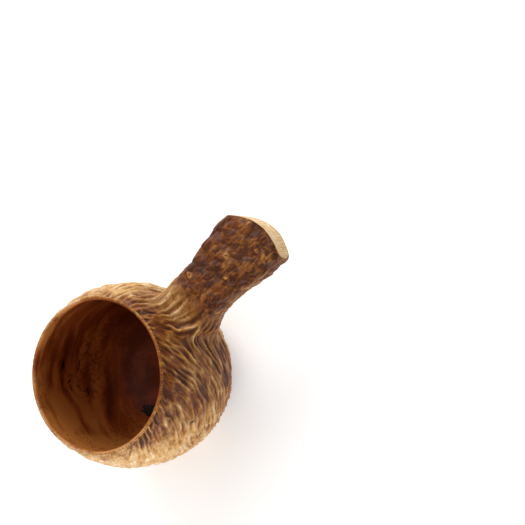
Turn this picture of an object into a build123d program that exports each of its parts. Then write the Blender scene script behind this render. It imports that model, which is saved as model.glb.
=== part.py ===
"""Kuksa: a drinking cup and its handle, carved from one piece of birch burl.

Frame: origin at the centre of the flat foot, +Z up along the bowl, +X out along the handle.
Millimetres. The bowl is a body of revolution, barrel-bellied and drawn in to a thin lip. The
handle swells out of the wall below the lip, narrows to a waist and widens to its end.
"""
from build123d import *
import os

# Bowl, outside. Points of its outline are (radius, height)
CUP_HEIGHT = 76.5
FOOT_RADIUS = 22.0
HEEL_POINT = (36.0, 6.0)
FLANK_POINT = (44.4, 23.0)
BELLY_RADIUS = 47.2
BELLY_HEIGHT = 51.0
LIP_RADIUS = 40.0

# Bowl, inside
LIP_WIDTH = 2.4
BELLY_WALL = 5.6
INNER_BELLY_HEIGHT = 49.0
INNER_FLANK_POINT = (38.8, 26.0)
INNER_HEEL_POINT = (30.0, 13.5)
FLOOR_THICKNESS = 7.0
FLOOR_FLAT_RADIUS = 8.0
LIP_ROUNDING = 0.9

# Handle: each section is a rounded rectangle standing across +X, at
# (distance from the bowl's axis, height of its centre, width, thickness, corner radius)
HANDLE_SECTIONS = (
    (36.0, 42.5, 54.0, 45.0, 20.0),
    (52.0, 47.0, 35.0, 25.5, 11.0),
    (66.0, 51.6, 29.0, 14.6, 5.6),
    (85.0, 52.8, 32.8, 11.2, 4.2),
    (116.0, 53.2, 34.4, 10.0, 3.6),
)

# Handle's end: an arc in plan, cut a little askew by hand
HANDLE_REACH = 112.3
END_CREST_OFFSET = 4.5
END_HALF_WIDTH = 17.2
END_BULGE = 3.0
END_SKEW = 8.5
CUT_MARGIN = 4.0
CUT_DEPTH = 10.0

belly_inner = BELLY_RADIUS - BELLY_WALL
lip_inner = LIP_RADIUS - LIP_WIDTH
near_reach = HANDLE_REACH - END_BULGE
far_reach = near_reach - END_SKEW
cut_half_width = END_HALF_WIDTH + CUT_MARGIN
cut_reach = HANDLE_REACH + CUT_DEPTH

# The handle's end as it is sawn: what lies beyond this outline is cut away
with BuildPart() as end_cut:
    with BuildSketch(Plane.XY):
        with BuildLine():
            end_arc = ThreePointArc(
                (near_reach, -END_HALF_WIDTH),
                (HANDLE_REACH, -END_CREST_OFFSET),
                (far_reach, END_HALF_WIDTH),
            )
            Polyline(
                end_arc @ 1,
                (far_reach - END_SKEW, cut_half_width),
                (cut_reach, cut_half_width),
                (cut_reach, -cut_half_width),
                (near_reach - CUT_MARGIN, -cut_half_width),
                end_arc @ 0,
            )
        make_face()
    extrude(amount=CUP_HEIGHT)

# The handle: a loft through its sections, cut to the end's outline
with BuildPart() as handle_blank:
    for reach, height, width, thickness, corner in HANDLE_SECTIONS:
        with BuildSketch(Plane.YZ.offset(reach)):
            with Locations((0, height)):
                RectangleRounded(width, thickness, corner)
    loft()
    add(end_cut.part, mode=Mode.SUBTRACT)

# The whole cup: bowl turned, handle joined, inside hollowed, lip rounded
with BuildPart() as burl_cup:
    with BuildSketch(Plane.XZ):
        with BuildLine():
            foot = Line((0, 0), (FOOT_RADIUS, 0))
            wall = Spline(
                foot @ 1,
                HEEL_POINT,
                FLANK_POINT,
                (BELLY_RADIUS, BELLY_HEIGHT),
                (LIP_RADIUS, CUP_HEIGHT),
            )
            brim = Line(wall @ 1, (0, CUP_HEIGHT))
            Line(brim @ 1, foot @ 0)
        make_face()
    revolve(axis=Axis.Z)
    add(handle_blank.part)
    with BuildSketch(Plane.XZ):
        with BuildLine():
            cavity_floor = Line((0, FLOOR_THICKNESS), (FLOOR_FLAT_RADIUS, FLOOR_THICKNESS))
            cavity_wall = Spline(
                cavity_floor @ 1,
                INNER_HEEL_POINT,
                INNER_FLANK_POINT,
                (belly_inner, INNER_BELLY_HEIGHT),
                (lip_inner, CUP_HEIGHT),
            )
            mouth = Line(cavity_wall @ 1, (0, CUP_HEIGHT))
            Line(mouth @ 1, cavity_floor @ 0)
        make_face()
    revolve(axis=Axis.Z, mode=Mode.SUBTRACT)
    lip_edges = burl_cup.edges().filter_by(GeomType.CIRCLE).group_by(Axis.Z)[-1]
    fillet(lip_edges, radius=LIP_ROUNDING)

burl_cup.part.label = "burl_cup"
os.makedirs("parts", exist_ok=True)
export_step(burl_cup.part, "parts/burl_cup.step")
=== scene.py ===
"""A kuksa: a drinking cup and its handle, carved from one piece of birch burl.

The carved cup stands for the plain CAD solid. It is drawn as a coarse cage, smoothed, and then
carved: furrows and scoops that wind round the bowl, blisters and pits on the handle, a smooth
oiled inside and a sanded handle end. Lengths are in millimetres until the finished mesh is
scaled to metres.
"""
import logging
import math
from dataclasses import dataclass, field
from enum import Enum

import bmesh
import bpy
from mathutils import Matrix, Vector, noise


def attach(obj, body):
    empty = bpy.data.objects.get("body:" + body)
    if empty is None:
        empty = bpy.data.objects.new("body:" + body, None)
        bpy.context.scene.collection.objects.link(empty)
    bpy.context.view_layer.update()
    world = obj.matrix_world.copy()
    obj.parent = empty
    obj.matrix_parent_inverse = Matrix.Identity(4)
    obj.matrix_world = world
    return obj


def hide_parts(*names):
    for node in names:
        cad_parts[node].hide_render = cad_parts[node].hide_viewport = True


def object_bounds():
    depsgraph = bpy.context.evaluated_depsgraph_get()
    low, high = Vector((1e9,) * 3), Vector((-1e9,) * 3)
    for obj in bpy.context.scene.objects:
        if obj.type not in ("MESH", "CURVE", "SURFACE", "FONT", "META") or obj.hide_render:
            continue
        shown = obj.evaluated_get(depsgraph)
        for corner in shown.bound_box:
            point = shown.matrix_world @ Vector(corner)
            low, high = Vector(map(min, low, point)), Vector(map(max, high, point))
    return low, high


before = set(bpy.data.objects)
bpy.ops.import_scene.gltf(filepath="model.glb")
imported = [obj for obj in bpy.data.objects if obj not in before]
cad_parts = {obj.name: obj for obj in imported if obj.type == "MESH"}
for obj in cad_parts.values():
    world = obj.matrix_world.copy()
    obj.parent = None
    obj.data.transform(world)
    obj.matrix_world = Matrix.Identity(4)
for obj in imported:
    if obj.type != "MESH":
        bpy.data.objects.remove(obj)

CAD_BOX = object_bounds()
METRE = 1000.0
NODE = "burl_cup"
BODY = "root"
NOISE_SEED = 5
SEED = Vector((11.3, 4.7, 29.1))
NO_SHIFT = Vector()

Colour = tuple[float, float, float, float]
Grid = tuple[float, float]
Socket = bpy.types.NodeSocket
Outputs = bpy.types.NodeOutputs
Material = bpy.types.Material
Mesh = bmesh.types.BMesh
Inputs = dict[str | int, object]

log = logging.getLogger("kuksa")


def mix(first: float, second: float, share: float) -> float:
    """Return the blend of two values, where share is the second one's part."""
    return first + (second - first) * share


def facing(place: Vector, side: float) -> float:
    """Return 1 where a place lies towards the azimuth side, falling to 0 opposite it."""
    return 0.5 + 0.5 * math.cos(math.atan2(place.y, place.x) - side)


@dataclass(frozen=True)
class Ramp:
    """A smooth rise from 0 to 1 between two values."""

    low: float
    high: float

    def at(self, value: float) -> float:
        """Return 0 below low, 1 above high and a smooth blend between them."""
        t = min(max((value - self.low) / (self.high - self.low), 0.0), 1.0)
        return t * t * (3.0 - 2.0 * t)


@dataclass(frozen=True)
class Unevenness:
    """Smooth noise: the size of its patches in millimetres, and its strength."""

    size: float
    strength: float = 1.0

    def at(self, place: Vector, shift: Vector = NO_SHIFT) -> float:
        """Return the noise at a place, between about minus and plus the strength."""
        return self.strength * noise.noise(place / self.size + shift)

    def push(self, place: Vector) -> Vector:
        """Return the noise at a place as a small shove in any direction."""
        return noise.noise_vector(place / self.size) * self.strength


class Finish(Enum):
    """The finishes of the cup, in the order of its material slots."""

    CARVED = 0
    OILED = 1
    SANDED = 2


@dataclass(frozen=True)
class Section:
    """A drawn section of the handle, across +X."""

    reach: float
    height: float
    width: float
    thickness: float
    roundness: float


@dataclass
class CupShape:
    """The cup's outline. Its overall sizes come from the CAD box."""

    belly: float = CAD_BOX[1].y * METRE
    height: float = CAD_BOX[1].z * METRE
    reach: float = CAD_BOX[1].x * METRE
    belly_height: float = 47.3
    lip: float = 40.0
    lip_width: float = 2.4
    fullness: float = 2.2
    shoulder: float = 1.75
    around: int = 28

    # The foot's points are (radius, height). The lip's are (in from its edge, down from its top).
    foot: float = 22.0
    foot_points: tuple[Grid, ...] = ((0.0, 0.0), (12.0, 0.0), (20.5, 0.0))
    wall_heights: tuple[float, ...] = (3.0, 10.0, 20.0, 30.0, 40.5, 51.0, 61.5, 71.8)
    outer_lip: tuple[Grid, ...] = ((0.15, 1.6), (0.55, 0.2))
    inner_lip: tuple[Grid, ...] = ((0.5, 0.2), (0.05, 1.4))
    inside_points: tuple[Grid, ...] = (
        (38.3, 72.0), (40.4, 60.0), (41.8, 44.0), (40.4, 31.0),
        (35.2, 19.0), (24.0, 9.6), (10.0, 7.0), (0.0, 7.0),
    )

    # The handle grows from this many columns of the wall's faces, between these two wall heights.
    handle_columns: int = 3
    handle_rows: tuple[int, int] = (3, 6)
    sections: tuple[Section, ...] = (
        Section(52.5, 46.9, 35.6, 26.0, 2.5),
        Section(60.0, 49.8, 32.0, 19.6, 2.8),
        Section(70.0, 52.2, 30.2, 14.2, 3.4),
        Section(83.0, 52.7, 33.2, 12.4, 4.0),
        Section(97.0, 51.6, 38.0, 13.6, 4.4),
    )

    # The end's rings are (short of the reach, width, thickness).
    end_rings: tuple[tuple[float, float, float], ...] = (
        (4.2, 39.4, 14.0), (1.3, 39.2, 13.8), (0.0, 37.8, 12.4),
    )
    end_height: float = 51.2
    end_roundness: float = 4.6
    end_crest: float = -4.5
    end_half_width: float = 19.3
    end_bulge: float = 4.0
    end_skew: float = 13.6

    def radius(self, z: float) -> float:
        """Return the bowl's outside radius before it is carved.

        Args:
            z: the height on the bowl.

        Returns:
            The radius: one superellipse under the belly, another above it.
        """
        if z < self.belly_height:
            fall = (self.belly_height - z) / self.belly_height
            share = (1.0 - fall**self.fullness) ** (1.0 / self.fullness)
            return mix(self.foot, self.belly, share)
        share = self.lip / self.belly
        rise = (self.height - self.belly_height) / (1.0 - share**self.shoulder) ** (1.0 / self.shoulder)
        up = (z - self.belly_height) / rise
        return self.belly * (1.0 - up**self.shoulder) ** (1.0 / self.shoulder)

    def profile(self) -> list[Grid]:
        """Return the wall's outline as (radius, height), from under the foot to the inside's middle."""
        wall = [(self.radius(z), z) for z in self.wall_heights]
        inner_edge = self.lip - self.lip_width
        outer = [(self.lip - across, self.height - down) for across, down in self.outer_lip]
        inner = [(inner_edge + across, self.height - down) for across, down in self.inner_lip]
        return [*self.foot_points, *wall, *outer, *inner, *self.inside_points]

    def handle_sections(self) -> list[Section]:
        """Return the handle's sections, from its root to the edge of its sawn end."""
        ends = [
            Section(self.reach - short, self.end_height, width, thickness, self.end_roundness)
            for short, width, thickness in self.end_rings
        ]
        return [*self.sections, *ends]

    def end_reach(self, y: float) -> float:
        """Return how far the handle's sawn end reaches: an arc, a little askew.

        Args:
            y: the place across the handle.

        Returns:
            The end's x at that place.
        """
        askew = y > self.end_crest
        half = self.end_half_width - self.end_crest if askew else self.end_half_width + self.end_crest
        side = (y - self.end_crest) / half
        return self.reach - (self.end_skew if askew else self.end_bulge) * side * side


@dataclass(frozen=True)
class Cut:
    """One cut of the gouge, seen from a place in it: its swell, its crest, how far down, its shade."""

    dome: float
    crest: float
    slope: float
    chance: float


@dataclass(frozen=True)
class CutWeights:
    """How much each property of a cut adds to a height or a shade."""

    dome: float = 0.0
    crest: float = 0.0
    slope: float = 0.0
    chance: float = 0.0
    base: float = 0.0

    def of(self, cut: Cut) -> float:
        """Return the weighted sum for a cut."""
        form = self.dome * cut.dome + self.crest * cut.crest + self.slope * cut.slope
        return form + self.chance * cut.chance + self.base


@dataclass(frozen=True)
class Eyes:
    """Birdseyes in the wood: pits, each in a raised ring."""

    gap: float = 6.5
    wobble: Unevenness = Unevenness(2.2, 0.9)
    smallest: float = 0.45
    growth: float = 0.8
    size_step: float = 7.3
    shown_step: float = 3.1
    shown: Ramp = Ramp(0.06, 0.16)
    pit: Ramp = Ramp(0.3, 1.5)
    edge: Ramp = Ramp(1.4, 2.4)

    def at(self, place: Vector) -> tuple[float, float]:
        """Look for a birdseye near a place.

        Args:
            place: the point on the wood.

        Returns:
            How strongly an eye shows there, and its relief: 0 in the pit and 1 on the ring.
        """
        distances, points = noise.voronoi((place + self.wobble.push(place)) / self.gap)
        size = self.smallest + self.growth * abs(noise.noise(points[0] * self.size_step))
        away = distances[0] * self.gap / size
        shown = self.shown.at(noise.noise(points[0] * self.shown_step + SEED))
        return shown * (1.0 - self.edge.at(away)), self.pit.at(away)


@dataclass(frozen=True)
class Carving:
    """The relief cut into the outside: furrows that wind round the bowl, blisters on the handle."""

    belly: float
    eyes: Eyes = Eyes()
    cell_radius: float = 0.8
    chance_step: float = 5.3

    # How the cuts wind: round the bowl per length down it, most on the winding side.
    winding: float = 0.36
    winding_swing: float = 0.62
    winding_side: float = -1.08
    run_stretch: float = 1.41
    sway: Unevenness = Unevenness(21.0, 3.5)
    wobble: Unevenness = Unevenness(3.4, 0.34)

    # Long furrows, on the side beside the handle.
    furrowed_side: float = -0.45
    furrowed: Ramp = Ramp(0.45, 0.9)
    furrowed_edge: Unevenness = Unevenness(12.0, 0.3)
    furrow_gap: float = 3.4
    furrow_stretch: float = 4.4
    furrow_sharpness: float = 0.18
    furrow_height: CutWeights = CutWeights(crest=0.50)
    furrow_shade: CutWeights = CutWeights(crest=0.28, chance=0.52, base=-0.20)

    # Ridge lines along the furrows, broken here and there.
    line_count: int = 73
    line_sharpness: float = 2.5
    line_bend: Unevenness = Unevenness(9.0, 3.2)
    line_stretch: float = 4.0
    line_patch: float = 4.5
    line_whole: Ramp = Ramp(-0.3, 0.3)
    line_least: float = 0.25
    line_height: float = 0.66
    line_shade: float = 0.46

    # Short scoops everywhere else, each with a pale arc at its lower edge: a pale crest, brightest there as
    # a painted highlight.
    scoop_gap: float = 4.5
    scoop_stretch: float = 1.9
    scoop_sharpness: float = 0.11
    scoop_height: CutWeights = CutWeights(dome=0.85, slope=0.55, base=0.12)
    scoop_shade: CutWeights = CutWeights(dome=0.22, chance=0.44, base=-0.04)
    arc_open: Ramp = Ramp(-0.4, 0.1)
    arc_least: float = 0.05
    arc_shade: float = 0.36

    # Blisters on the handle, large ones with small ones on them.
    blister_gap: float = 5.0
    small_gap: float = 2.6
    handle_stretch: float = 0.75
    handle_wobble: Unevenness = Unevenness(4.0, 1.6)
    large_sharpness: float = 0.10
    small_sharpness: float = 0.16
    large_height: CutWeights = CutWeights(dome=0.65)
    small_height: CutWeights = CutWeights(dome=0.18, crest=0.12)
    large_shade: CutWeights = CutWeights(dome=0.26, crest=0.24)
    small_shade: CutWeights = CutWeights(crest=0.14, chance=0.42, base=-0.34)

    bowl_swell: Unevenness = Unevenness(5.0, 0.5)
    handle_swell: Unevenness = Unevenness(7.0, 0.5)
    swell_share: float = 0.22

    def cell(self, place: Vector, sharpness: float) -> Cut:
        """Return the cell that a place lies in, as a cut with a crest all round it.

        Args:
            place: the place, in cells.
            sharpness: how narrow the crest is, in cells.

        Returns:
            The cut.
        """
        distances, points = noise.voronoi(place)
        return Cut(
            dome=1.0 - min(distances[0] / self.cell_radius, 1.0) ** 2,
            crest=math.exp(-(((distances[1] - distances[0]) / sharpness) ** 2)),
            slope=place.z - points[0].z,
            chance=0.5 + 0.5 * noise.noise(points[0] * self.chance_step),
        )

    def wind(self, place: Vector, run: float) -> Vector:
        """Return a place unrolled along the cuts: x and y round the bowl, z down a furrow.

        Args:
            place: the point on the bowl.
            run: the distance from the lip, along the wall.

        Returns:
            The wound place, in millimetres.
        """
        azimuth = math.atan2(place.y, place.x)
        winding = self.winding + self.winding_swing * math.cos(azimuth - self.winding_side)
        turn = -azimuth - winding * (run + self.sway.at(place, SEED)) / self.belly
        ring = self.belly / math.sqrt(2.0)
        unrolled = Vector((math.cos(turn) * ring, math.sin(turn) * ring, run * self.run_stretch))
        return unrolled + self.wobble.push(place)

    @staticmethod
    def along(wound: Vector, stretch: float, gap: float) -> Vector:
        """Return a wound place in cells that are drawn out down the furrows."""
        return Vector((wound.x, wound.y, wound.z / stretch)) / gap

    @staticmethod
    def mark(value: float, eye: tuple[float, float], depth: float, strength: float) -> float:
        """Return a height or a shade with a birdseye laid over it."""
        return mix(value, eye[1] * depth, eye[0] * strength)

    def ridges(self, place: Vector, wound: Vector) -> tuple[float, float]:
        """Return the relief of the bowl: long furrows beside the handle, scoops elsewhere.

        Args:
            place: the point on the bowl.
            wound: the same point, unrolled along the cuts.

        Returns:
            The height, 0 in a groove and 1 on a crest, and the shade, 0 dark and 1 light.
        """
        long_share = self.furrowed.at(facing(place, self.furrowed_side) + self.furrowed_edge.at(place))
        furrow_place = self.along(wound, self.furrow_stretch, self.furrow_gap) + SEED
        scoop_place = self.along(wound, self.scoop_stretch, self.scoop_gap) - SEED
        furrow = self.cell(furrow_place, self.furrow_sharpness)
        scoop = self.cell(scoop_place, self.scoop_sharpness)

        whole = self.line_whole.at(noise.noise(self.along(wound, self.line_stretch, self.line_patch)))
        phase = self.line_count * math.atan2(wound.y, wound.x) + self.line_bend.at(place)
        line = (0.5 + 0.5 * math.cos(phase)) ** self.line_sharpness * mix(self.line_least, 1.0, whole)

        long_height = self.line_height * line + self.furrow_height.of(furrow)
        long_shade = self.line_shade * line + self.furrow_shade.of(furrow)
        # The arc is a pale crest, with a painted highlight at one end of each scoop.
        arc = scoop.crest * (self.arc_least + self.arc_shade * (1.0 - self.arc_open.at(scoop.slope)))
        height = mix(self.scoop_height.of(scoop), long_height, long_share)
        shade = mix(self.scoop_shade.of(scoop) + arc, long_shade, long_share)

        swell = 0.5 + self.bowl_swell.at(place)
        eye = self.eyes.at(place)
        return (
            min(1.0, self.mark(height * 0.85 + 0.2 * swell, eye, 0.8, 0.8)),
            self.mark(shade + self.swell_share * swell, eye, 0.65, 0.85),
        )

    def blisters(self, place: Vector) -> tuple[float, float]:
        """Return the relief of the handle: blisters with small ones on them, and pits.

        Args:
            place: the point on the handle.

        Returns:
            The height and the shade, as for the bowl.
        """
        drawn = Vector((place.x * self.handle_stretch, place.y, place.z)) + self.handle_wobble.push(place)
        large = self.cell(drawn / self.blister_gap + SEED, self.large_sharpness)
        small = self.cell(drawn / self.small_gap - SEED, self.small_sharpness)
        swell = self.swell_share * (0.5 + self.handle_swell.at(place))
        height = self.large_height.of(large) + self.small_height.of(small) + swell
        shade = self.large_shade.of(large) + self.small_shade.of(small) + swell
        eye = self.eyes.at(place + SEED)
        return self.mark(height, eye, 0.8, 0.8), self.mark(shade, eye, 0.8, 0.9)


@dataclass(frozen=True)
class PaintedLightAndTone:
    """Painted light and shade on the oiled wood, with some random tone: where it is dark, pale or golden.
    """

    # Painted light and shade on the outside: pale away from the dark side, painted shade towards it and
    # under the lip; the cloud is random tone.
    dark_side: float = -0.50
    darkened: Ramp = Ramp(0.68, 1.0)
    dark_edge: Unevenness = Unevenness(19.0, 0.22)
    clear_of_lip: Ramp = Ramp(2.0, 11.0)
    lip_edge: Unevenness = Unevenness(5.0, 5.0)
    cloud: Unevenness = Unevenness(7.0, 0.25)
    palest: float = 0.9
    darkest: float = -0.4

    # Painted light and shade on the inside: golden where light falls, dark on the shaded side and on the
    # floor.
    shaded_inside: float = 0.52
    shaded: Ramp = Ramp(0.05, 0.5)
    shadiest: Ramp = Ramp(0.7, 1.0)
    high: Ramp = Ramp(6.0, 50.0)
    high_edge: Unevenness = Unevenness(11.0, 9.0)
    above_floor: Ramp = Ramp(8.0, 34.0)
    floor_edge: Unevenness = Unevenness(14.0, 6.0)
    near_rim: Ramp = Ramp(58.0, 74.0)
    gold_cloud: Unevenness = Unevenness(12.0, 1.1)

    # Random tone on the handle, and a painted highlight on its flanks.
    handle_cloud: Unevenness = Unevenness(9.0, 0.35)
    handle_flank: Ramp = Ramp(0.3, 0.8)

    def outside(self, place: Vector, run: float) -> float:
        """Return the painted light on the bowl: painted shade by the handle and under the lip there, else
        pale.

        Args:
            place: the point on the bowl.
            run: the distance from the lip, along the wall.

        Returns:
            1 for painted light, 0 for painted shade, and less where deeper painted shade turns the wood red
            as well.
        """
        # Pale here is painted light, and dark is painted shade.
        towards = facing(place, self.dark_side)
        pale = 1.0 - self.darkened.at(towards + self.dark_edge.at(place, -SEED))
        under_lip = 1.0 - self.clear_of_lip.at(run + self.lip_edge.at(place))
        # The under-lip term is painted shade; the cloud is random tone.
        tone = 0.94 * pale - under_lip * (0.08 + 0.62 * towards) + 0.03 + self.cloud.at(place)
        return min(self.palest, max(self.darkest, tone))

    def inside(self, place: Vector) -> float:
        """Return the painted light on the inside: golden most at the rim and away from the handle, with
        painted shade on the shaded side and on the floor.

        Args:
            place: the point on the inside.

        Returns:
            1 for golden painted light, 0 for the usual red-brown, and less for painted shade.
        """
        towards = facing(place, self.shaded_inside)
        high = self.high.at(place.z + self.high_edge.at(place))
        deep = 1.0 - self.above_floor.at(place.z + self.floor_edge.at(place))
        patchy = 0.85 + self.gold_cloud.at(place, SEED)
        # Golden painted light high up, by the rim and away from the shaded side; painted shade on that side
        # and on the floor.
        gold = high * (1.0 - self.shaded.at(towards)) + 0.35 * self.near_rim.at(place.z)
        return 1.2 * patchy * gold - 0.35 * self.shadiest.at(towards) - 0.25 * deep

    def handle(self, place: Vector, normal: Vector) -> float:
        """Return how pale the handle is: random tone, and a painted highlight that makes its flanks paler
        than its top.
        """
        # The flank term is a painted highlight, set by the way the surface faces.
        return self.handle_cloud.at(place) - 0.04 + 0.55 * self.handle_flank.at(1.0 - abs(normal.z))


@dataclass
class BurlCup:
    """The carved cup: one mesh, with a carved outside, an oiled inside and a sanded end."""

    shape: CupShape = field(default_factory=CupShape)
    light_and_tone: PaintedLightAndTone = field(default_factory=PaintedLightAndTone)
    smoothing: int = 3
    longest_edge: float = 0.8
    cut_depth: float = 1.725
    lip_carving: float = 0.7
    end_carving: float = 0.4
    end_inset: float = 1.3
    least_wall: float = 3.0
    polish: Unevenness = Unevenness(12.0, 0.12)
    handle_start: Ramp = Ramp(-1.0, 2.0)
    blistered: Ramp = Ramp(0.15, 0.95)
    full_depth: Ramp = Ramp(0.1, 0.9)

    def build(self) -> bpy.types.Object:
        """Make the cup's mesh.

        Returns:
            Its object, still without materials.
        """
        cage = self.turn_cage()
        self.draw_out_handle(cage)
        self.fit_cage(cage)
        smooth = self.smoothed(cage)
        self.refine_outside(smooth)
        self.carve(smooth)
        return self.finish_mesh(smooth)

    def dress(self, cup: bpy.types.Object, materials: dict[Finish, Material]) -> None:
        """Give the cup its materials, in the order of its slots."""
        for finish in Finish:
            cup.data.materials.append(materials[finish])

    def turn_cage(self) -> Mesh:
        """Spin the outline into the bowl's cage and note on each vertex what the carving needs.

        Returns:
            The cage, with the layers run, carve, handle, inside, end and ring.
        """
        shape, outline = self.shape, self.shape.profile()
        cage = bmesh.new()
        names = ("run", "carve", "handle", "inside", "end", "ring")
        tags = {name: cage.verts.layers.float.new(name) for name in names}
        first_wall = len(shape.foot_points)
        last_wall = first_wall + len(shape.wall_heights) - 1
        runs = [0.0] * len(outline)
        for i in range(last_wall, -1, -1):
            runs[i] = runs[i + 1] + math.dist(outline[i], outline[i + 1])
        half_step = math.pi / shape.around
        chain = []
        for i, (radius, z) in enumerate(outline):
            vert = cage.verts.new((radius * math.cos(half_step), radius * math.sin(half_step), z))
            vert[tags["run"]] = runs[i]
            vert[tags["carve"]] = 1.0 if first_wall <= i <= last_wall else 0.0
            vert[tags["inside"]] = 1.0 if i > last_wall + len(shape.outer_lip) else 0.0
            chain.append(vert)
        chain[last_wall + 1][tags["carve"]] = self.lip_carving
        edges = [cage.edges.new(pair) for pair in zip(chain, chain[1:])]
        bmesh.ops.spin(
            cage, geom=chain + edges, cent=(0, 0, 0), axis=(0, 0, 1),
            angle=math.tau, steps=shape.around, use_merge=True,
        )
        bmesh.ops.remove_doubles(cage, verts=cage.verts, dist=1e-4)
        bmesh.ops.recalc_face_normals(cage, faces=cage.faces)
        return cage

    def handle_patch(self, cage: Mesh) -> list[bmesh.types.BMFace]:
        """Find the faces of the wall that the handle grows from, and note where their corners lie.

        Args:
            cage: the bowl's cage. It gains the layers across and up, both from -1 to 1.

        Returns:
            The faces.
        """
        shape, layers = self.shape, cage.verts.layers.float
        across, up = layers.new("across"), layers.new("up")
        first, last = shape.handle_rows
        low, high = shape.wall_heights[first], shape.wall_heights[last]
        rows = last - first
        half_angle = shape.handle_columns * math.pi / shape.around
        patch = []
        for face in cage.faces:
            middle = face.calc_center_median()
            level = low < middle.z < high and abs(math.atan2(middle.y, middle.x)) < half_angle
            if level and middle.xy.length > shape.radius(middle.z) - self.least_wall:
                patch.append(face)
        for vert in {vert for face in patch for vert in face.verts}:
            vert[across] = math.atan2(vert.co.y, vert.co.x) / half_angle
            vert[up] = round(rows * (vert.co.z - low) / (high - low)) / (rows / 2.0) - 1.0
        return patch

    def draw_out_handle(self, cage: Mesh) -> None:
        """Extrude the patch through the handle's sections to its sawn end.

        Args:
            cage: the bowl's cage, which gains the handle.
        """
        patch = self.handle_patch(cage)
        tags, sections = cage.verts.layers.float, self.shape.handle_sections()
        for step, section in enumerate(sections):
            grown = bmesh.ops.extrude_face_region(cage, geom=patch)["geom"]
            bmesh.ops.delete(cage, geom=patch, context="FACES")
            patch = [g for g in grown if isinstance(g, bmesh.types.BMFace)]
            for vert in (g for g in grown if isinstance(g, bmesh.types.BMVert)):
                vert.co = self.section_point(section, vert[tags["across"]], vert[tags["up"]])
                vert[tags["handle"]] = self.handle_start.at(step)
                vert[tags["ring"]] = step + 1.0
        bmesh.ops.recalc_face_normals(cage, faces=cage.faces)
        bmesh.ops.inset_region(cage, faces=patch, thickness=self.end_inset, use_even_offset=True)
        for vert in {vert for face in patch for vert in face.verts}:
            vert[tags["ring"]] = 0.0
            vert[tags["end"]] = 1.0
            vert[tags["carve"]] = 0.0
        for vert in cage.verts:
            if vert[tags["ring"]] == len(sections):
                vert[tags["carve"]] = self.end_carving

    def section_point(self, section: Section, across: float, up: float) -> Vector:
        """Return where a vertex of the handle lies: a rounded rectangle, swept to the skewed end.

        Args:
            section: the section that the vertex is on.
            across: the vertex's place across the handle, from -1 to 1.
            up: its place up the handle's side, from -1 to 1.

        Returns:
            The vertex's place.
        """
        power = section.roundness
        span = (abs(across) ** power + abs(up) ** power) ** (1.0 / power) or 1.0
        size = max(abs(across), abs(up)) / span
        y = section.width / 2.0 * across * size
        z = section.height + section.thickness / 2.0 * up * size
        sweep = Ramp(self.shape.sections[0].reach, self.shape.reach).at(section.reach)
        swing = (self.shape.end_reach(y) - self.shape.reach) * sweep
        return Vector((section.reach + swing, y, z))

    def fit_cage(self, cage: Mesh, rounds: int = 8, share: float = 0.9) -> None:
        """Push the cage out until its smoothed surface passes through the points as drawn.

        Along the handle each ring is fitted as a curve of its own. Elsewhere the point to meet is
        where a Catmull-Clark surface takes the vertex.

        Args:
            cage: the cage.
            rounds: how often every vertex is moved.
            share: how much of what is missing a round makes up.
        """
        drawn = {vert: vert.co.copy() for vert in cage.verts}
        ring, end = cage.verts.layers.float["ring"], cage.verts.layers.float["end"]
        for _ in range(rounds):
            shift = {}
            for vert, target in drawn.items():
                beside = [edge.other_vert(vert) for edge in vert.link_edges]
                if vert[ring] > 0.0:
                    first, second = (other.co for other in beside if other[ring] == vert[ring])
                    shift[vert] = (target - (vert.co * 4.0 + first + second) / 6.0) * share
                    continue
                count = len(vert.link_faces)
                if vert[end] > 0.0 or any(len(face.verts) != 4 for face in vert.link_faces):
                    continue
                edge_sum = sum((other.co for other in beside), Vector())
                corner_sum = sum((self.opposite(face, vert).co for face in vert.link_faces), Vector())
                limit = (vert.co * count**2 + edge_sum * 4.0 + corner_sum) / (count * (count + 5))
                shift[vert] = (target - limit) * share
            for vert, move in shift.items():
                vert.co += move

    @staticmethod
    def opposite(face: bmesh.types.BMFace, vert: bmesh.types.BMVert) -> bmesh.types.BMVert:
        """Return the vertex across a four-sided face from the given one."""
        corners = list(face.verts)
        return corners[(corners.index(vert) + 2) % 4]

    def smoothed(self, cage: Mesh) -> Mesh:
        """Smooth the cage with a Subdivision Surface modifier.

        Args:
            cage: the cage, which is used up.

        Returns:
            The smooth mesh, with the cage's layers.
        """
        mesh = bpy.data.meshes.new("cup_cage")
        cage.to_mesh(mesh)
        cage.free()
        blank = bpy.data.objects.new("cup_cage", mesh)
        bpy.context.scene.collection.objects.link(blank)
        modifier = blank.modifiers.new("smooth", "SUBSURF")
        modifier.levels = modifier.render_levels = self.smoothing
        evaluated = blank.evaluated_get(bpy.context.evaluated_depsgraph_get())
        smooth = bmesh.new()
        smooth.from_mesh(bpy.data.meshes.new_from_object(evaluated))
        bpy.data.objects.remove(blank)
        return smooth

    def refine_outside(self, mesh: Mesh) -> None:
        """Halve the long edges of the part that will be carved, so that the relief has room."""
        carve, least_carved = mesh.verts.layers.float["carve"], 0.25
        coarse = [
            edge for edge in mesh.edges
            if edge.calc_length() > self.longest_edge and all(v[carve] > least_carved for v in edge.verts)
        ]
        bmesh.ops.subdivide_edges(mesh, edges=coarse, cuts=1, use_grid_fill=True)

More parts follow.
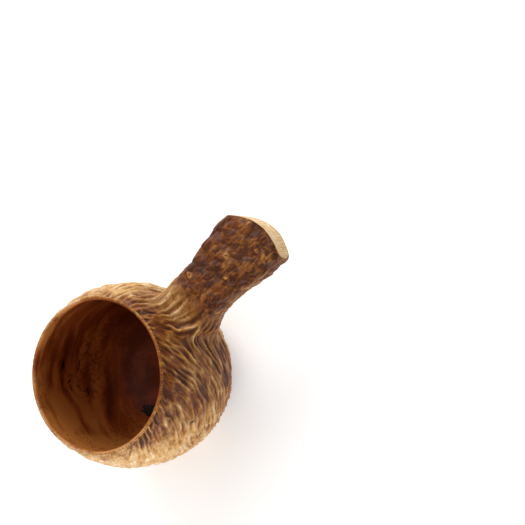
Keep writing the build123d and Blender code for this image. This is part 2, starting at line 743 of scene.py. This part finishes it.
    def carve(self, mesh: Mesh) -> None:
        """Cut the relief inwards from the outside, and note its shade, its tone with painted light and
        shade, and its fibre direction.

        Args:
            mesh: the smooth mesh. It gains the layers shade, tone_and_painted_light and flow, which the
                materials read.
        """
        tags = mesh.verts.layers.float
        shade_tag, tone_and_painted_light_tag = tags.new("shade"), tags.new("tone_and_painted_light")
        flow_tag = mesh.verts.layers.float_vector.new("flow")
        carving = Carving(self.shape.belly)
        mesh.normal_update()
        moves = []
        for vert in mesh.verts:
            place, run, inside = vert.co, vert[tags["run"]], vert[tags["inside"]]
            handle = self.blistered.at(vert[tags["handle"]])
            wound = carving.wind(place, run)
            height, shade = carving.ridges(place, wound)
            blister_height, blister_shade = carving.blisters(place)
            # Random tone with painted light and shade, for the bowl, the handle and the inside.
            bowl_painted_light = self.light_and_tone.outside(place, run)
            outer_painted_light = mix(bowl_painted_light, self.light_and_tone.handle(place, vert.normal), handle)
            vert[shade_tag] = mix(shade, blister_shade, handle)
            vert[tone_and_painted_light_tag] = mix(outer_painted_light, self.light_and_tone.inside(place), inside)
            vert[flow_tag] = wound.lerp(Vector((place.y, place.z, place.x)), handle) / METRE
            share = self.full_depth.at(vert[tags["carve"]])
            relief = self.cut_depth * (mix(height, blister_height, handle) - 1.0) * share
            moves.append(vert.normal * (relief + self.polish.at(place) * inside))
        for vert, move in zip(mesh.verts, moves):
            vert.co += move
            vert.co.z = min(max(vert.co.z, 0.0), self.shape.height)
            vert.co.x = min(vert.co.x, self.shape.reach)

    def finish_mesh(self, mesh: Mesh) -> bpy.types.Object:
        """Give each face its finish and make the mesh an object.

        Args:
            mesh: the carved mesh in millimetres, which is used up.

        Returns:
            The object, in metres.
        """
        tags = mesh.verts.layers.float
        least_end, least_carved = 0.5, 0.3
        for face in mesh.faces:
            count = len(face.verts)
            carved = sum(v[tags["carve"]] for v in face.verts) / count
            end = sum(v[tags["end"]] for v in face.verts) / count
            finish = Finish.CARVED if carved > least_carved else Finish.OILED
            face.material_index = (Finish.SANDED if end > least_end else finish).value
            face.smooth = True
        bmesh.ops.scale(mesh, vec=Vector((1, 1, 1)) / METRE, verts=mesh.verts)
        data = bpy.data.meshes.new("carved_burl_cup")
        mesh.to_mesh(data)
        mesh.free()
        cup = bpy.data.objects.new("carved_burl_cup", data)
        bpy.context.scene.collection.objects.link(cup)
        log.info("%s: %d faces", cup.name, len(data.polygons))
        return cup


class Sheet:
    """A node tree being laid out: adds nodes and joins them in one call."""

    def __init__(self, tree: bpy.types.NodeTree) -> None:
        """Start on a tree, cleared of what it holds."""
        self.tree = tree
        tree.nodes.clear()

    def fill(self, socket: Socket, value: object) -> None:
        """Join another node's output to a socket, or set the socket's value."""
        if isinstance(value, Socket):
            self.tree.links.new(value, socket)
        else:
            socket.default_value = value

    def add(self, kind: str, inputs: Inputs | None = None, **settings: object) -> bpy.types.Node:
        """Add a node.

        Args:
            kind: the node's type name, without its ShaderNode prefix.
            inputs: values or other nodes' outputs, by socket name or number.
            settings: the node's own properties.

        Returns:
            The node.
        """
        prefix = "" if kind.startswith("Node") else "ShaderNode"
        node = self.tree.nodes.new(prefix + kind)
        for name, value in settings.items():
            setattr(node, name, value)
        for socket, value in (inputs or {}).items():
            self.fill(node.inputs[socket], value)
        return node

    def ramp(self, factor: Socket, stops: list[tuple[float, Colour]]) -> Socket:
        """Add a colour ramp.

        Args:
            factor: the value that runs along the ramp.
            stops: its positions and colours, in order.

        Returns:
            The ramp's colour.
        """
        node = self.add("ValToRGB", {0: factor})
        elements = node.color_ramp.elements
        for _ in range(len(stops) - len(elements)):
            elements.new(0.5)
        for element, (position, colour) in zip(elements, stops):
            element.position = position
            element.color = colour
        return node.outputs["Color"]

    def math(self, operation: str, first: object, second: object, clamp: bool = False) -> Socket:
        """Add a Math node and return its value."""
        return self.add("Math", {0: first, 1: second}, operation=operation, use_clamp=clamp).outputs[0]

    def swing(self, value: Socket, middle: float, gain: float) -> Socket:
        """Return how far a value is from its middle, times a gain."""
        return self.math("MULTIPLY", self.math("SUBTRACT", value, middle), gain)

    def noise(self, place: Socket, scale: float, detail: float, roughness: float = 0.5) -> Socket:
        """Return a noise from 0 to 1. Its scale is in patches to the metre."""
        inputs = {"Vector": place, "Scale": scale, "Detail": detail, "Roughness": roughness}
        return self.add("TexNoise", inputs).outputs[0]

    def between(self, value: Socket, low: object, high: object) -> Socket:
        """Return 0 where a value is low, 1 where it is high and a straight blend between them."""
        return self.add("MapRange", {"Value": value, 1: low, 2: high}).outputs[0]

    def blend(self, factor: object, first: object, second: object) -> Socket:
        """Mix two colours.

        Args:
            factor: the second colour's share.
            first: a colour, or a node's output.
            second: another.

        Returns:
            The mixed colour.
        """
        return self.add("Mix", {0: factor, 6: first, 7: second}, data_type="RGBA").outputs[2]

    def attribute(self, name: str) -> Socket:
        """Return one of the mesh's values by name."""
        return self.add("Attribute", attribute_name=name).outputs["Fac"]


@dataclass(frozen=True)
class Palette:
    """Burl's colours, from the black knots to the sanded wood. Linear, with alpha."""

    knot: Colour = (0.012, 0.004, 0.002, 1.0)
    valley: Colour = (0.050, 0.012, 0.003, 1.0)
    red: Colour = (0.165, 0.042, 0.006, 1.0)
    amber: Colour = (0.320, 0.118, 0.016, 1.0)
    tan: Colour = (0.540, 0.275, 0.062, 1.0)
    straw: Colour = (0.650, 0.430, 0.200, 1.0)
    cream: Colour = (0.780, 0.630, 0.420, 1.0)
    deep: Colour = (0.130, 0.026, 0.005, 1.0)
    mahogany: Colour = (0.290, 0.066, 0.012, 1.0)
    honey: Colour = (0.560, 0.210, 0.045, 1.0)


@dataclass(frozen=True)
class BurlFigure:
    """The figure of burl wood as a node group. Scales are cells to the metre."""

    squeeze: tuple[float, float, float] = (0.30, 0.30, 1.5)
    fibre_length: tuple[float, float, float] = (1.0, 1.0, 0.14)
    strand_length: tuple[float, float, float] = (1.0, 1.0, 0.22)
    cluster_place: float = 3.1
    rings_per_eye: float = 20.0

    def build(self) -> bpy.types.NodeTree:
        """Build the group.

        Returns:
            The group. It reads all but the fibres and lines from the place, and those from the flow.
        """
        group = bpy.data.node_groups.new("burl_figure", "ShaderNodeTree")
        for name, kind in (("Place", "Vector"), ("Flow", "Vector"), ("Warp", "Float"), ("Knots", "Float")):
            group.interface.new_socket(name=name, in_out="INPUT", socket_type=f"NodeSocket{kind}")
        for name in ("Bands", "Eyes", "Knot Mask", "Threads", "Grit", "Fibre", "Lines"):
            group.interface.new_socket(name=name, in_out="OUTPUT", socket_type="NodeSocketFloat")
        sheet = Sheet(group)
        given = sheet.add("NodeGroupInput").outputs
        warped = self.warp(sheet, given)
        squeezed = sheet.add("Mapping", {"Vector": warped, "Scale": self.squeeze}).outputs[0]
        cluster_inputs = {"Vector": given["Place"], "W": self.cluster_place, "Scale": 40.0, "Detail": 1.0}
        clusters = sheet.add("TexNoise", cluster_inputs, noise_dimensions="4D").outputs[0]
        bands = sheet.noise(squeezed, 85.0, 4.0, 0.5)
        grit = sheet.noise(given["Place"], 1100.0, 3.0, 0.65)
        fibre_place = sheet.add("Mapping", {"Vector": given["Flow"], "Scale": self.fibre_length}).outputs[0]
        fibre = sheet.noise(fibre_place, 900.0, 3.0, 0.6)
        sheet.add("NodeGroupOutput", {
            "Bands": bands,
            "Eyes": self.eyes(sheet, given, warped),
            "Knot Mask": self.knots(sheet, given, squeezed, clusters),
            "Threads": self.threads(sheet, warped, clusters),
            "Grit": grit,
            "Fibre": fibre,
            "Lines": self.lines(sheet, given),
        })
        return group

    @staticmethod
    def warp(sheet: Sheet, given: Outputs) -> Socket:
        """Return the place, pushed about by the group's Warp."""
        inputs = {"Vector": given["Place"], "Scale": 34.0, "Detail": 3.0, "Roughness": 0.55}
        drift = sheet.add("TexNoise", inputs).outputs["Color"]
        centred = sheet.add("VectorMath", {0: drift, 1: (0.5, 0.5, 0.5)}, operation="SUBTRACT")
        push = sheet.add("VectorMath", {0: centred.outputs[0], "Scale": given["Warp"]}, operation="SCALE")
        return sheet.add("VectorMath", {0: given["Place"], 1: push.outputs[0]}, operation="ADD").outputs[0]

    def eyes(self, sheet: Sheet, given: Outputs, warped: Socket) -> Socket:
        """Return rings round the birdseyes, in some places only."""
        cells = sheet.add("TexVoronoi", {"Vector": warped, "Scale": 190.0}, feature="F1")
        turns = sheet.math("MULTIPLY", cells.outputs["Distance"], self.rings_per_eye)
        rings = sheet.math("SINE", turns, 0.5)
        shown = sheet.between(sheet.noise(given["Place"], 45.0, 1.0), 0.54, 0.64)
        return sheet.math("MULTIPLY", rings, shown)

    def knots(
        self, sheet: Sheet, given: Outputs, squeezed: object, clusters: object,
    ) -> Socket:
        """Return the mask of the black knots: flecks in clusters, past the group's Knots."""
        flecks = sheet.noise(squeezed, 260.0, 3.0, 0.6)
        dark = sheet.math("MULTIPLY", flecks, sheet.math("ADD", clusters, 0.45))
        return sheet.between(dark, given["Knots"], sheet.math("ADD", given["Knots"], 0.04))

    @staticmethod
    def threads(sheet: Sheet, warped: Socket, clusters: object) -> Socket:
        """Return thin wandering lines, where a noise passes its middle, in the clusters only."""
        wander = sheet.add("TexNoise", {"Vector": warped, "Scale": 130.0, "Detail": 2.0, "Distortion": 0.8})
        away = sheet.math("ABSOLUTE", sheet.math("SUBTRACT", wander.outputs[0], 0.5), 0.5)
        thread = sheet.add("MapRange", {"Value": away, 1: 0.008, 2: 0.035, 3: 1.0, 4: 0.0}).outputs[0]
        return sheet.math("MULTIPLY", thread, sheet.between(clusters, 0.42, 0.54))

    def lines(self, sheet: Sheet, given: Outputs) -> Socket:
        """Return fine lines between long strands, along the cuts."""
        lengthwise = sheet.add("Mapping", {"Vector": given["Flow"], "Scale": self.strand_length}).outputs[0]
        inputs = {"Vector": lengthwise, "Scale": 520.0}
        distance = sheet.add("TexVoronoi", inputs, feature="DISTANCE_TO_EDGE").outputs["Distance"]
        return sheet.add("MapRange", {"Value": distance, 1: 0.0, 2: 0.16, 3: 1.0, 4: 0.0}).outputs[0]


@dataclass(frozen=True)
class Board:
    """A material being made: its sheet, its place on the object and the burl figure there."""

    material: Material
    sheet: Sheet
    place: Socket
    figure: Outputs


@dataclass(frozen=True)
class WoodFinish:
    """What all of the cup's finishes share."""

    palette: Palette
    burl: bpy.types.NodeTree
    name: str = "wood"
    warp: float = 0.012
    knots: float = 0.7
    bump: float = 0.1
    bump_height: float = 0.0003
    specular: float = 0.3

    def start(self) -> Board:
        """Make a material with the burl figure in it.

        Returns:
            The board to go on with.
        """
        material = bpy.data.materials.new(self.name)
        material.use_nodes = True
        sheet = Sheet(material.node_tree)
        place = sheet.add("TexCoord").outputs["Object"]
        flow = sheet.add("Attribute", attribute_name="flow").outputs["Vector"]
        figure = sheet.add("Group", node_tree=self.burl)
        for socket, value in (("Place", place), ("Flow", flow), ("Warp", self.warp), ("Knots", self.knots)):
            sheet.fill(figure.inputs[socket], value)
        return Board(material, sheet, place, figure.outputs)

    def close(self, board: Board, colour: object, roughness: object, height: object) -> Material:
        """End a material in its Principled shader.

        Args:
            board: the material so far.
            colour: its base colour.
            roughness: its roughness.
            height: what its bump is made from.

        Returns:
            The finished material.
        """
        sheet = board.sheet
        relief = {"Strength": self.bump, "Distance": self.bump_height, "Height": height}
        shader = sheet.add("BsdfPrincipled", {
            "Base Color": colour,
            "Roughness": roughness,
            "Normal": sheet.add("Bump", relief).outputs[0],
            "Specular IOR Level": self.specular,
        })
        sheet.add("OutputMaterial", {"Surface": shader.outputs[0]})
        return board.material


@dataclass(frozen=True)
class CarvedBurl(WoodFinish):
    """The carved outside: dark oiled grooves, crests rubbed pale by hands."""

    name: str = "carved_burl"
    knots: float = 0.735
    bump: float = 0.45
    specular: float = 0.24
    streaks: float = 0.38
    specks: float = 0.22
    line_shade: float = 0.10
    line_relief: float = 0.4
    eye_shade: float = 0.30
    groove_roughness: float = 0.52
    crest_roughness: float = 0.30

    def make(self) -> Material:
        """Return the material."""
        board, p = self.start(), self.palette
        sheet, figure = board.sheet, board.figure
        streak = sheet.swing(figure["Fibre"], 0.5, self.streaks)
        speck = sheet.swing(figure["Grit"], 0.5, self.specks)
        drawn = sheet.swing(figure["Lines"], 0.3, self.line_shade)
        worn = sheet.math("ADD", sheet.math("ADD", streak, speck), drawn)
        rubbed = sheet.math("ADD", sheet.attribute("shade"), worn)
        # dark and pale are the shaded and lit copies of the carved colours; the painted light layer picks
        # between them.
        dark = sheet.ramp(rubbed, [
            (0.16, p.valley), (0.35, p.red), (0.56, p.amber), (0.74, p.tan), (0.95, p.straw),
        ])
        pale = sheet.ramp(rubbed, [
            (0.10, p.red), (0.24, p.amber), (0.40, p.tan), (0.62, p.straw), (0.88, p.cream),
        ])
        tone_and_painted_light = sheet.attribute("tone_and_painted_light")
        toned = sheet.blend(sheet.math("MAXIMUM", tone_and_painted_light, 0.0), dark, pale)
        # Below zero the layer is painted shade, which turns the wood red.
        shadowed = sheet.math("MULTIPLY", sheet.math("MINIMUM", tone_and_painted_light, 0.0), -1.0)
        wood = sheet.blend(shadowed, toned, p.red)
        eyes = sheet.math("MULTIPLY", figure["Eyes"], self.eye_shade, clamp=True)
        ringed = sheet.blend(eyes, wood, p.red)
        knotted = sheet.blend(figure["Knot Mask"], ringed, p.knot)
        gloss_ends = {"Value": rubbed, 3: self.groove_roughness, 4: self.crest_roughness}
        gloss = sheet.add("MapRange", gloss_ends).outputs[0]
        line_relief = sheet.math("MULTIPLY", figure["Lines"], self.line_relief)
        surface = sheet.math("ADD", figure["Grit"], line_relief)
        return self.close(board, knotted, gloss, surface)


@dataclass(frozen=True)
class OiledInside(WoodFinish):
    """The smooth inside and lip: deep red-brown with rim-wise bands, threads and black knots."""

    name: str = "oiled_inside"
    warp: float = 0.022
    knots: float = 0.66
    bump: float = 0.10
    specular: float = 0.18
    roughness: float = 0.45
    specks: float = 0.15
    gold: float = 0.34
    eye_shade: float = 0.55
    thread_shade: float = 0.6
    lip_flecks_and_glints: float = 0.7

    def make(self) -> Material:
        """Return the material."""
        board, p = self.start(), self.palette
        sheet, figure = board.sheet, board.figure
        inside = sheet.attribute("inside")
        fine = sheet.swing(figure["Grit"], 0.5, self.specks)
        # The layer is the inside's painted light: golden where light falls, dark on the shaded side.
        tone_and_painted_light = sheet.math("MULTIPLY", sheet.attribute("tone_and_painted_light"), inside)
        golden = sheet.math("MULTIPLY", tone_and_painted_light, self.gold)
        mixed = sheet.math("ADD", sheet.math("ADD", figure["Bands"], fine), golden)
        wood = sheet.ramp(mixed, [(0.34, p.deep), (0.50, p.mahogany), (0.72, p.honey)])
        eyes = sheet.math("MULTIPLY", figure["Eyes"], self.eye_shade, clamp=True)
        ringed = sheet.blend(eyes, wood, p.deep)
        threaded = sheet.blend(sheet.math("MULTIPLY", figure["Threads"], self.thread_shade), ringed, p.deep)
        knotted = sheet.blend(figure["Knot Mask"], threaded, p.knot)
        # Pale flecks along the lip: partly the wood's flecks, partly painted highlights.
        flecked = sheet.math("ADD", mixed, sheet.swing(figure["Fibre"], 0.45, self.lip_flecks_and_glints))
        lip = sheet.ramp(flecked, [(0.34, p.red), (0.46, p.amber), (0.60, p.tan), (0.74, p.cream)])
        return self.close(board, sheet.blend(inside, lip, knotted), self.roughness, figure["Grit"])


@dataclass(frozen=True)
class SandedEnd(WoodFinish):
    """The handle's sawn end: pale, dry and finely striped."""

    name: str = "sanded_end"
    warp: float = 0.006
    knots: float = 0.75
    bump: float = 0.15
    roughness: float = 0.55
    stripe_scale: float = 1500.0
    stripe_length: tuple[float, float, float] = (1.0, 1.0, 0.12)
    stripe_share: float = 0.6

    def make(self) -> Material:
        """Return the material."""
        board, p = self.start(), self.palette
        sheet = board.sheet
        across = sheet.add("Mapping", {"Vector": board.place, "Scale": self.stripe_length}).outputs[0]
        lines = sheet.noise(across, self.stripe_scale, 2.0)
        banding = sheet.math("MULTIPLY", board.figure["Bands"], 1.0 - self.stripe_share)
        stripes = sheet.math("ADD", sheet.math("MULTIPLY", lines, self.stripe_share), banding)
        wood = sheet.ramp(stripes, [(0.32, p.tan), (0.52, p.straw), (0.66, p.cream)])
        return self.close(board, wood, self.roughness, lines)


@dataclass(frozen=True)
class Softbox:
    """A soft light: where it hangs, as a share of a metre in the view's directions, and its power."""

    name: str
    up: float
    right: float
    height: float
    size: Grid
    power: float


@dataclass
class Studio:
    """The floor, the soft lights and the camera. Lengths are in metres."""

    tilt: float = math.radians(35.0)
    swing: float = math.radians(39.5)
    roll: float = math.radians(-1.4)
    distance: float = 1.2
    frame_width: float = 0.2625
    frame_offset: Grid = (0.0829, 0.0565)
    sensor: float = 36.0
    floor_size: float = 3.0
    floor_colour: Colour = (0.88, 0.88, 0.88, 1.0)
    floor_roughness: float = 0.9
    floor_glow: float = 0.30
    white: Colour = (1.0, 1.0, 1.0, 1.0)
    surround: float = 0.26
    softboxes: tuple[Softbox, ...] = (
        Softbox("upper_softbox", 0.55, -0.1, 0.36, (0.7, 0.35), 4.2),
        Softbox("lower_softbox", -0.5, 0.0, 0.20, (0.7, 0.28), 2.8),
        Softbox("overhead", 0.3, -0.25, 1.0, (0.9, 0.9), 2.0),
    )

    def build(self) -> None:
        """Make the floor, the lights, the surround and the camera."""
        self.lay_floor()
        right, up, _ = self.axes()
        flat_right = Vector((right.x, right.y, 0.0)).normalized()
        for softbox in self.softboxes:
            place = up * softbox.up + flat_right * softbox.right + Vector((0, 0, softbox.height))
            self.hang(softbox, place)
        self.light_surround()
        self.place_camera()

    def axes(self) -> tuple[Vector, Vector, Vector]:
        """Return the view's right, its up and the way back to the camera, in the cup's frame."""
        along = Vector((math.cos(self.swing), -math.sin(self.swing), 0.0))
        up = Vector((math.sin(self.swing), math.cos(self.swing), 0.0))
        back = Vector((0, 0, math.cos(self.tilt))) + along * math.sin(self.tilt)
        right = Vector((0, 0, -math.sin(self.tilt))) + along * math.cos(self.tilt)
        turned = Matrix.Rotation(self.roll, 3, back)
        return turned @ right, turned @ up, back

    def place_camera(self) -> None:
        """Set the camera over the mouth, aimed so that the cup lies in the view's lower left."""
        right, up, back = self.axes()
        mouth = Vector((0, 0, CAD_BOX[1].z))
        position = mouth + back * self.distance
        target = mouth + right * self.frame_offset[0] + up * self.frame_offset[1]
        view = (target - position).normalized()
        side = view.cross(up).normalized()
        data = bpy.data.cameras.new("camera")
        data.sensor_width = self.sensor
        data.lens = self.sensor * (target - position).length / self.frame_width
        camera = bpy.data.objects.new("camera", data)
        turn = Matrix((side, side.cross(view), -view)).transposed()
        camera.matrix_world = Matrix.Translation(position) @ turn.to_4x4()
        bpy.context.scene.collection.objects.link(camera)
        bpy.context.scene.camera = camera

    def hang(self, softbox: Softbox, place: Vector) -> None:
        """Hang a soft light, aimed at the cup's belly.

        Args:
            softbox: the light.
            place: where it hangs, in the cup's frame.
        """
        data = bpy.data.lights.new(softbox.name, "AREA")
        data.shape = "RECTANGLE"
        data.size, data.size_y = softbox.size
        data.energy = softbox.power
        light = bpy.data.objects.new(softbox.name, data)
        aim = Vector((0, 0, CAD_BOX[1].z / 2)) - place
        turn = aim.to_track_quat("-Z", "Y").to_matrix()
        light.matrix_world = Matrix.Translation(place) @ turn.to_4x4()
        light.visible_camera = False
        bpy.context.scene.collection.objects.link(light)

    def lay_floor(self) -> None:
        """Lay a sheet of pale paper, which glows a little so that it stays white."""
        bed = bmesh.new()
        bmesh.ops.create_grid(bed, x_segments=1, y_segments=1, size=self.floor_size)
        mesh = bpy.data.meshes.new("floor")
        bed.to_mesh(mesh)
        bed.free()
        floor = bpy.data.objects.new("floor", mesh)
        paper = bpy.data.materials.new("pale_paper")
        paper.use_nodes = True
        inputs = paper.node_tree.nodes["Principled BSDF"].inputs
        inputs["Base Color"].default_value = self.floor_colour
        inputs["Roughness"].default_value = self.floor_roughness
        inputs["Specular IOR Level"].default_value = 0.0
        inputs["Emission Color"].default_value = self.white
        inputs["Emission Strength"].default_value = self.floor_glow
        mesh.materials.append(paper)
        bpy.context.scene.collection.objects.link(floor)

    def light_surround(self) -> None:
        """Fill the room with even white light."""
        world = bpy.data.worlds.new("surround")
        world.use_nodes = True
        inputs = world.node_tree.nodes["Background"].inputs
        inputs["Color"].default_value = self.white
        inputs["Strength"].default_value = self.surround
        bpy.context.scene.world = world
        bpy.context.scene.view_settings.view_transform = "Standard"


def main() -> None:
    """Build the studio and the cup, and report the piece."""
    noise.seed_set(NOISE_SEED)
    Studio().build()
    maker = BurlCup()
    cup = maker.build()
    palette, burl = Palette(), BurlFigure().build()
    maker.dress(cup, {
        Finish.CARVED: CarvedBurl(palette, burl).make(),
        Finish.OILED: OiledInside(palette, burl).make(),
        Finish.SANDED: SandedEnd(palette, burl).make(),
    })
    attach(cup, BODY)
    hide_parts(NODE)
    log.info("%s rides on %s and stands for %s", cup.name, BODY, NODE)


if __name__ == "__main__":
    logging.basicConfig(level=logging.INFO)
    main()
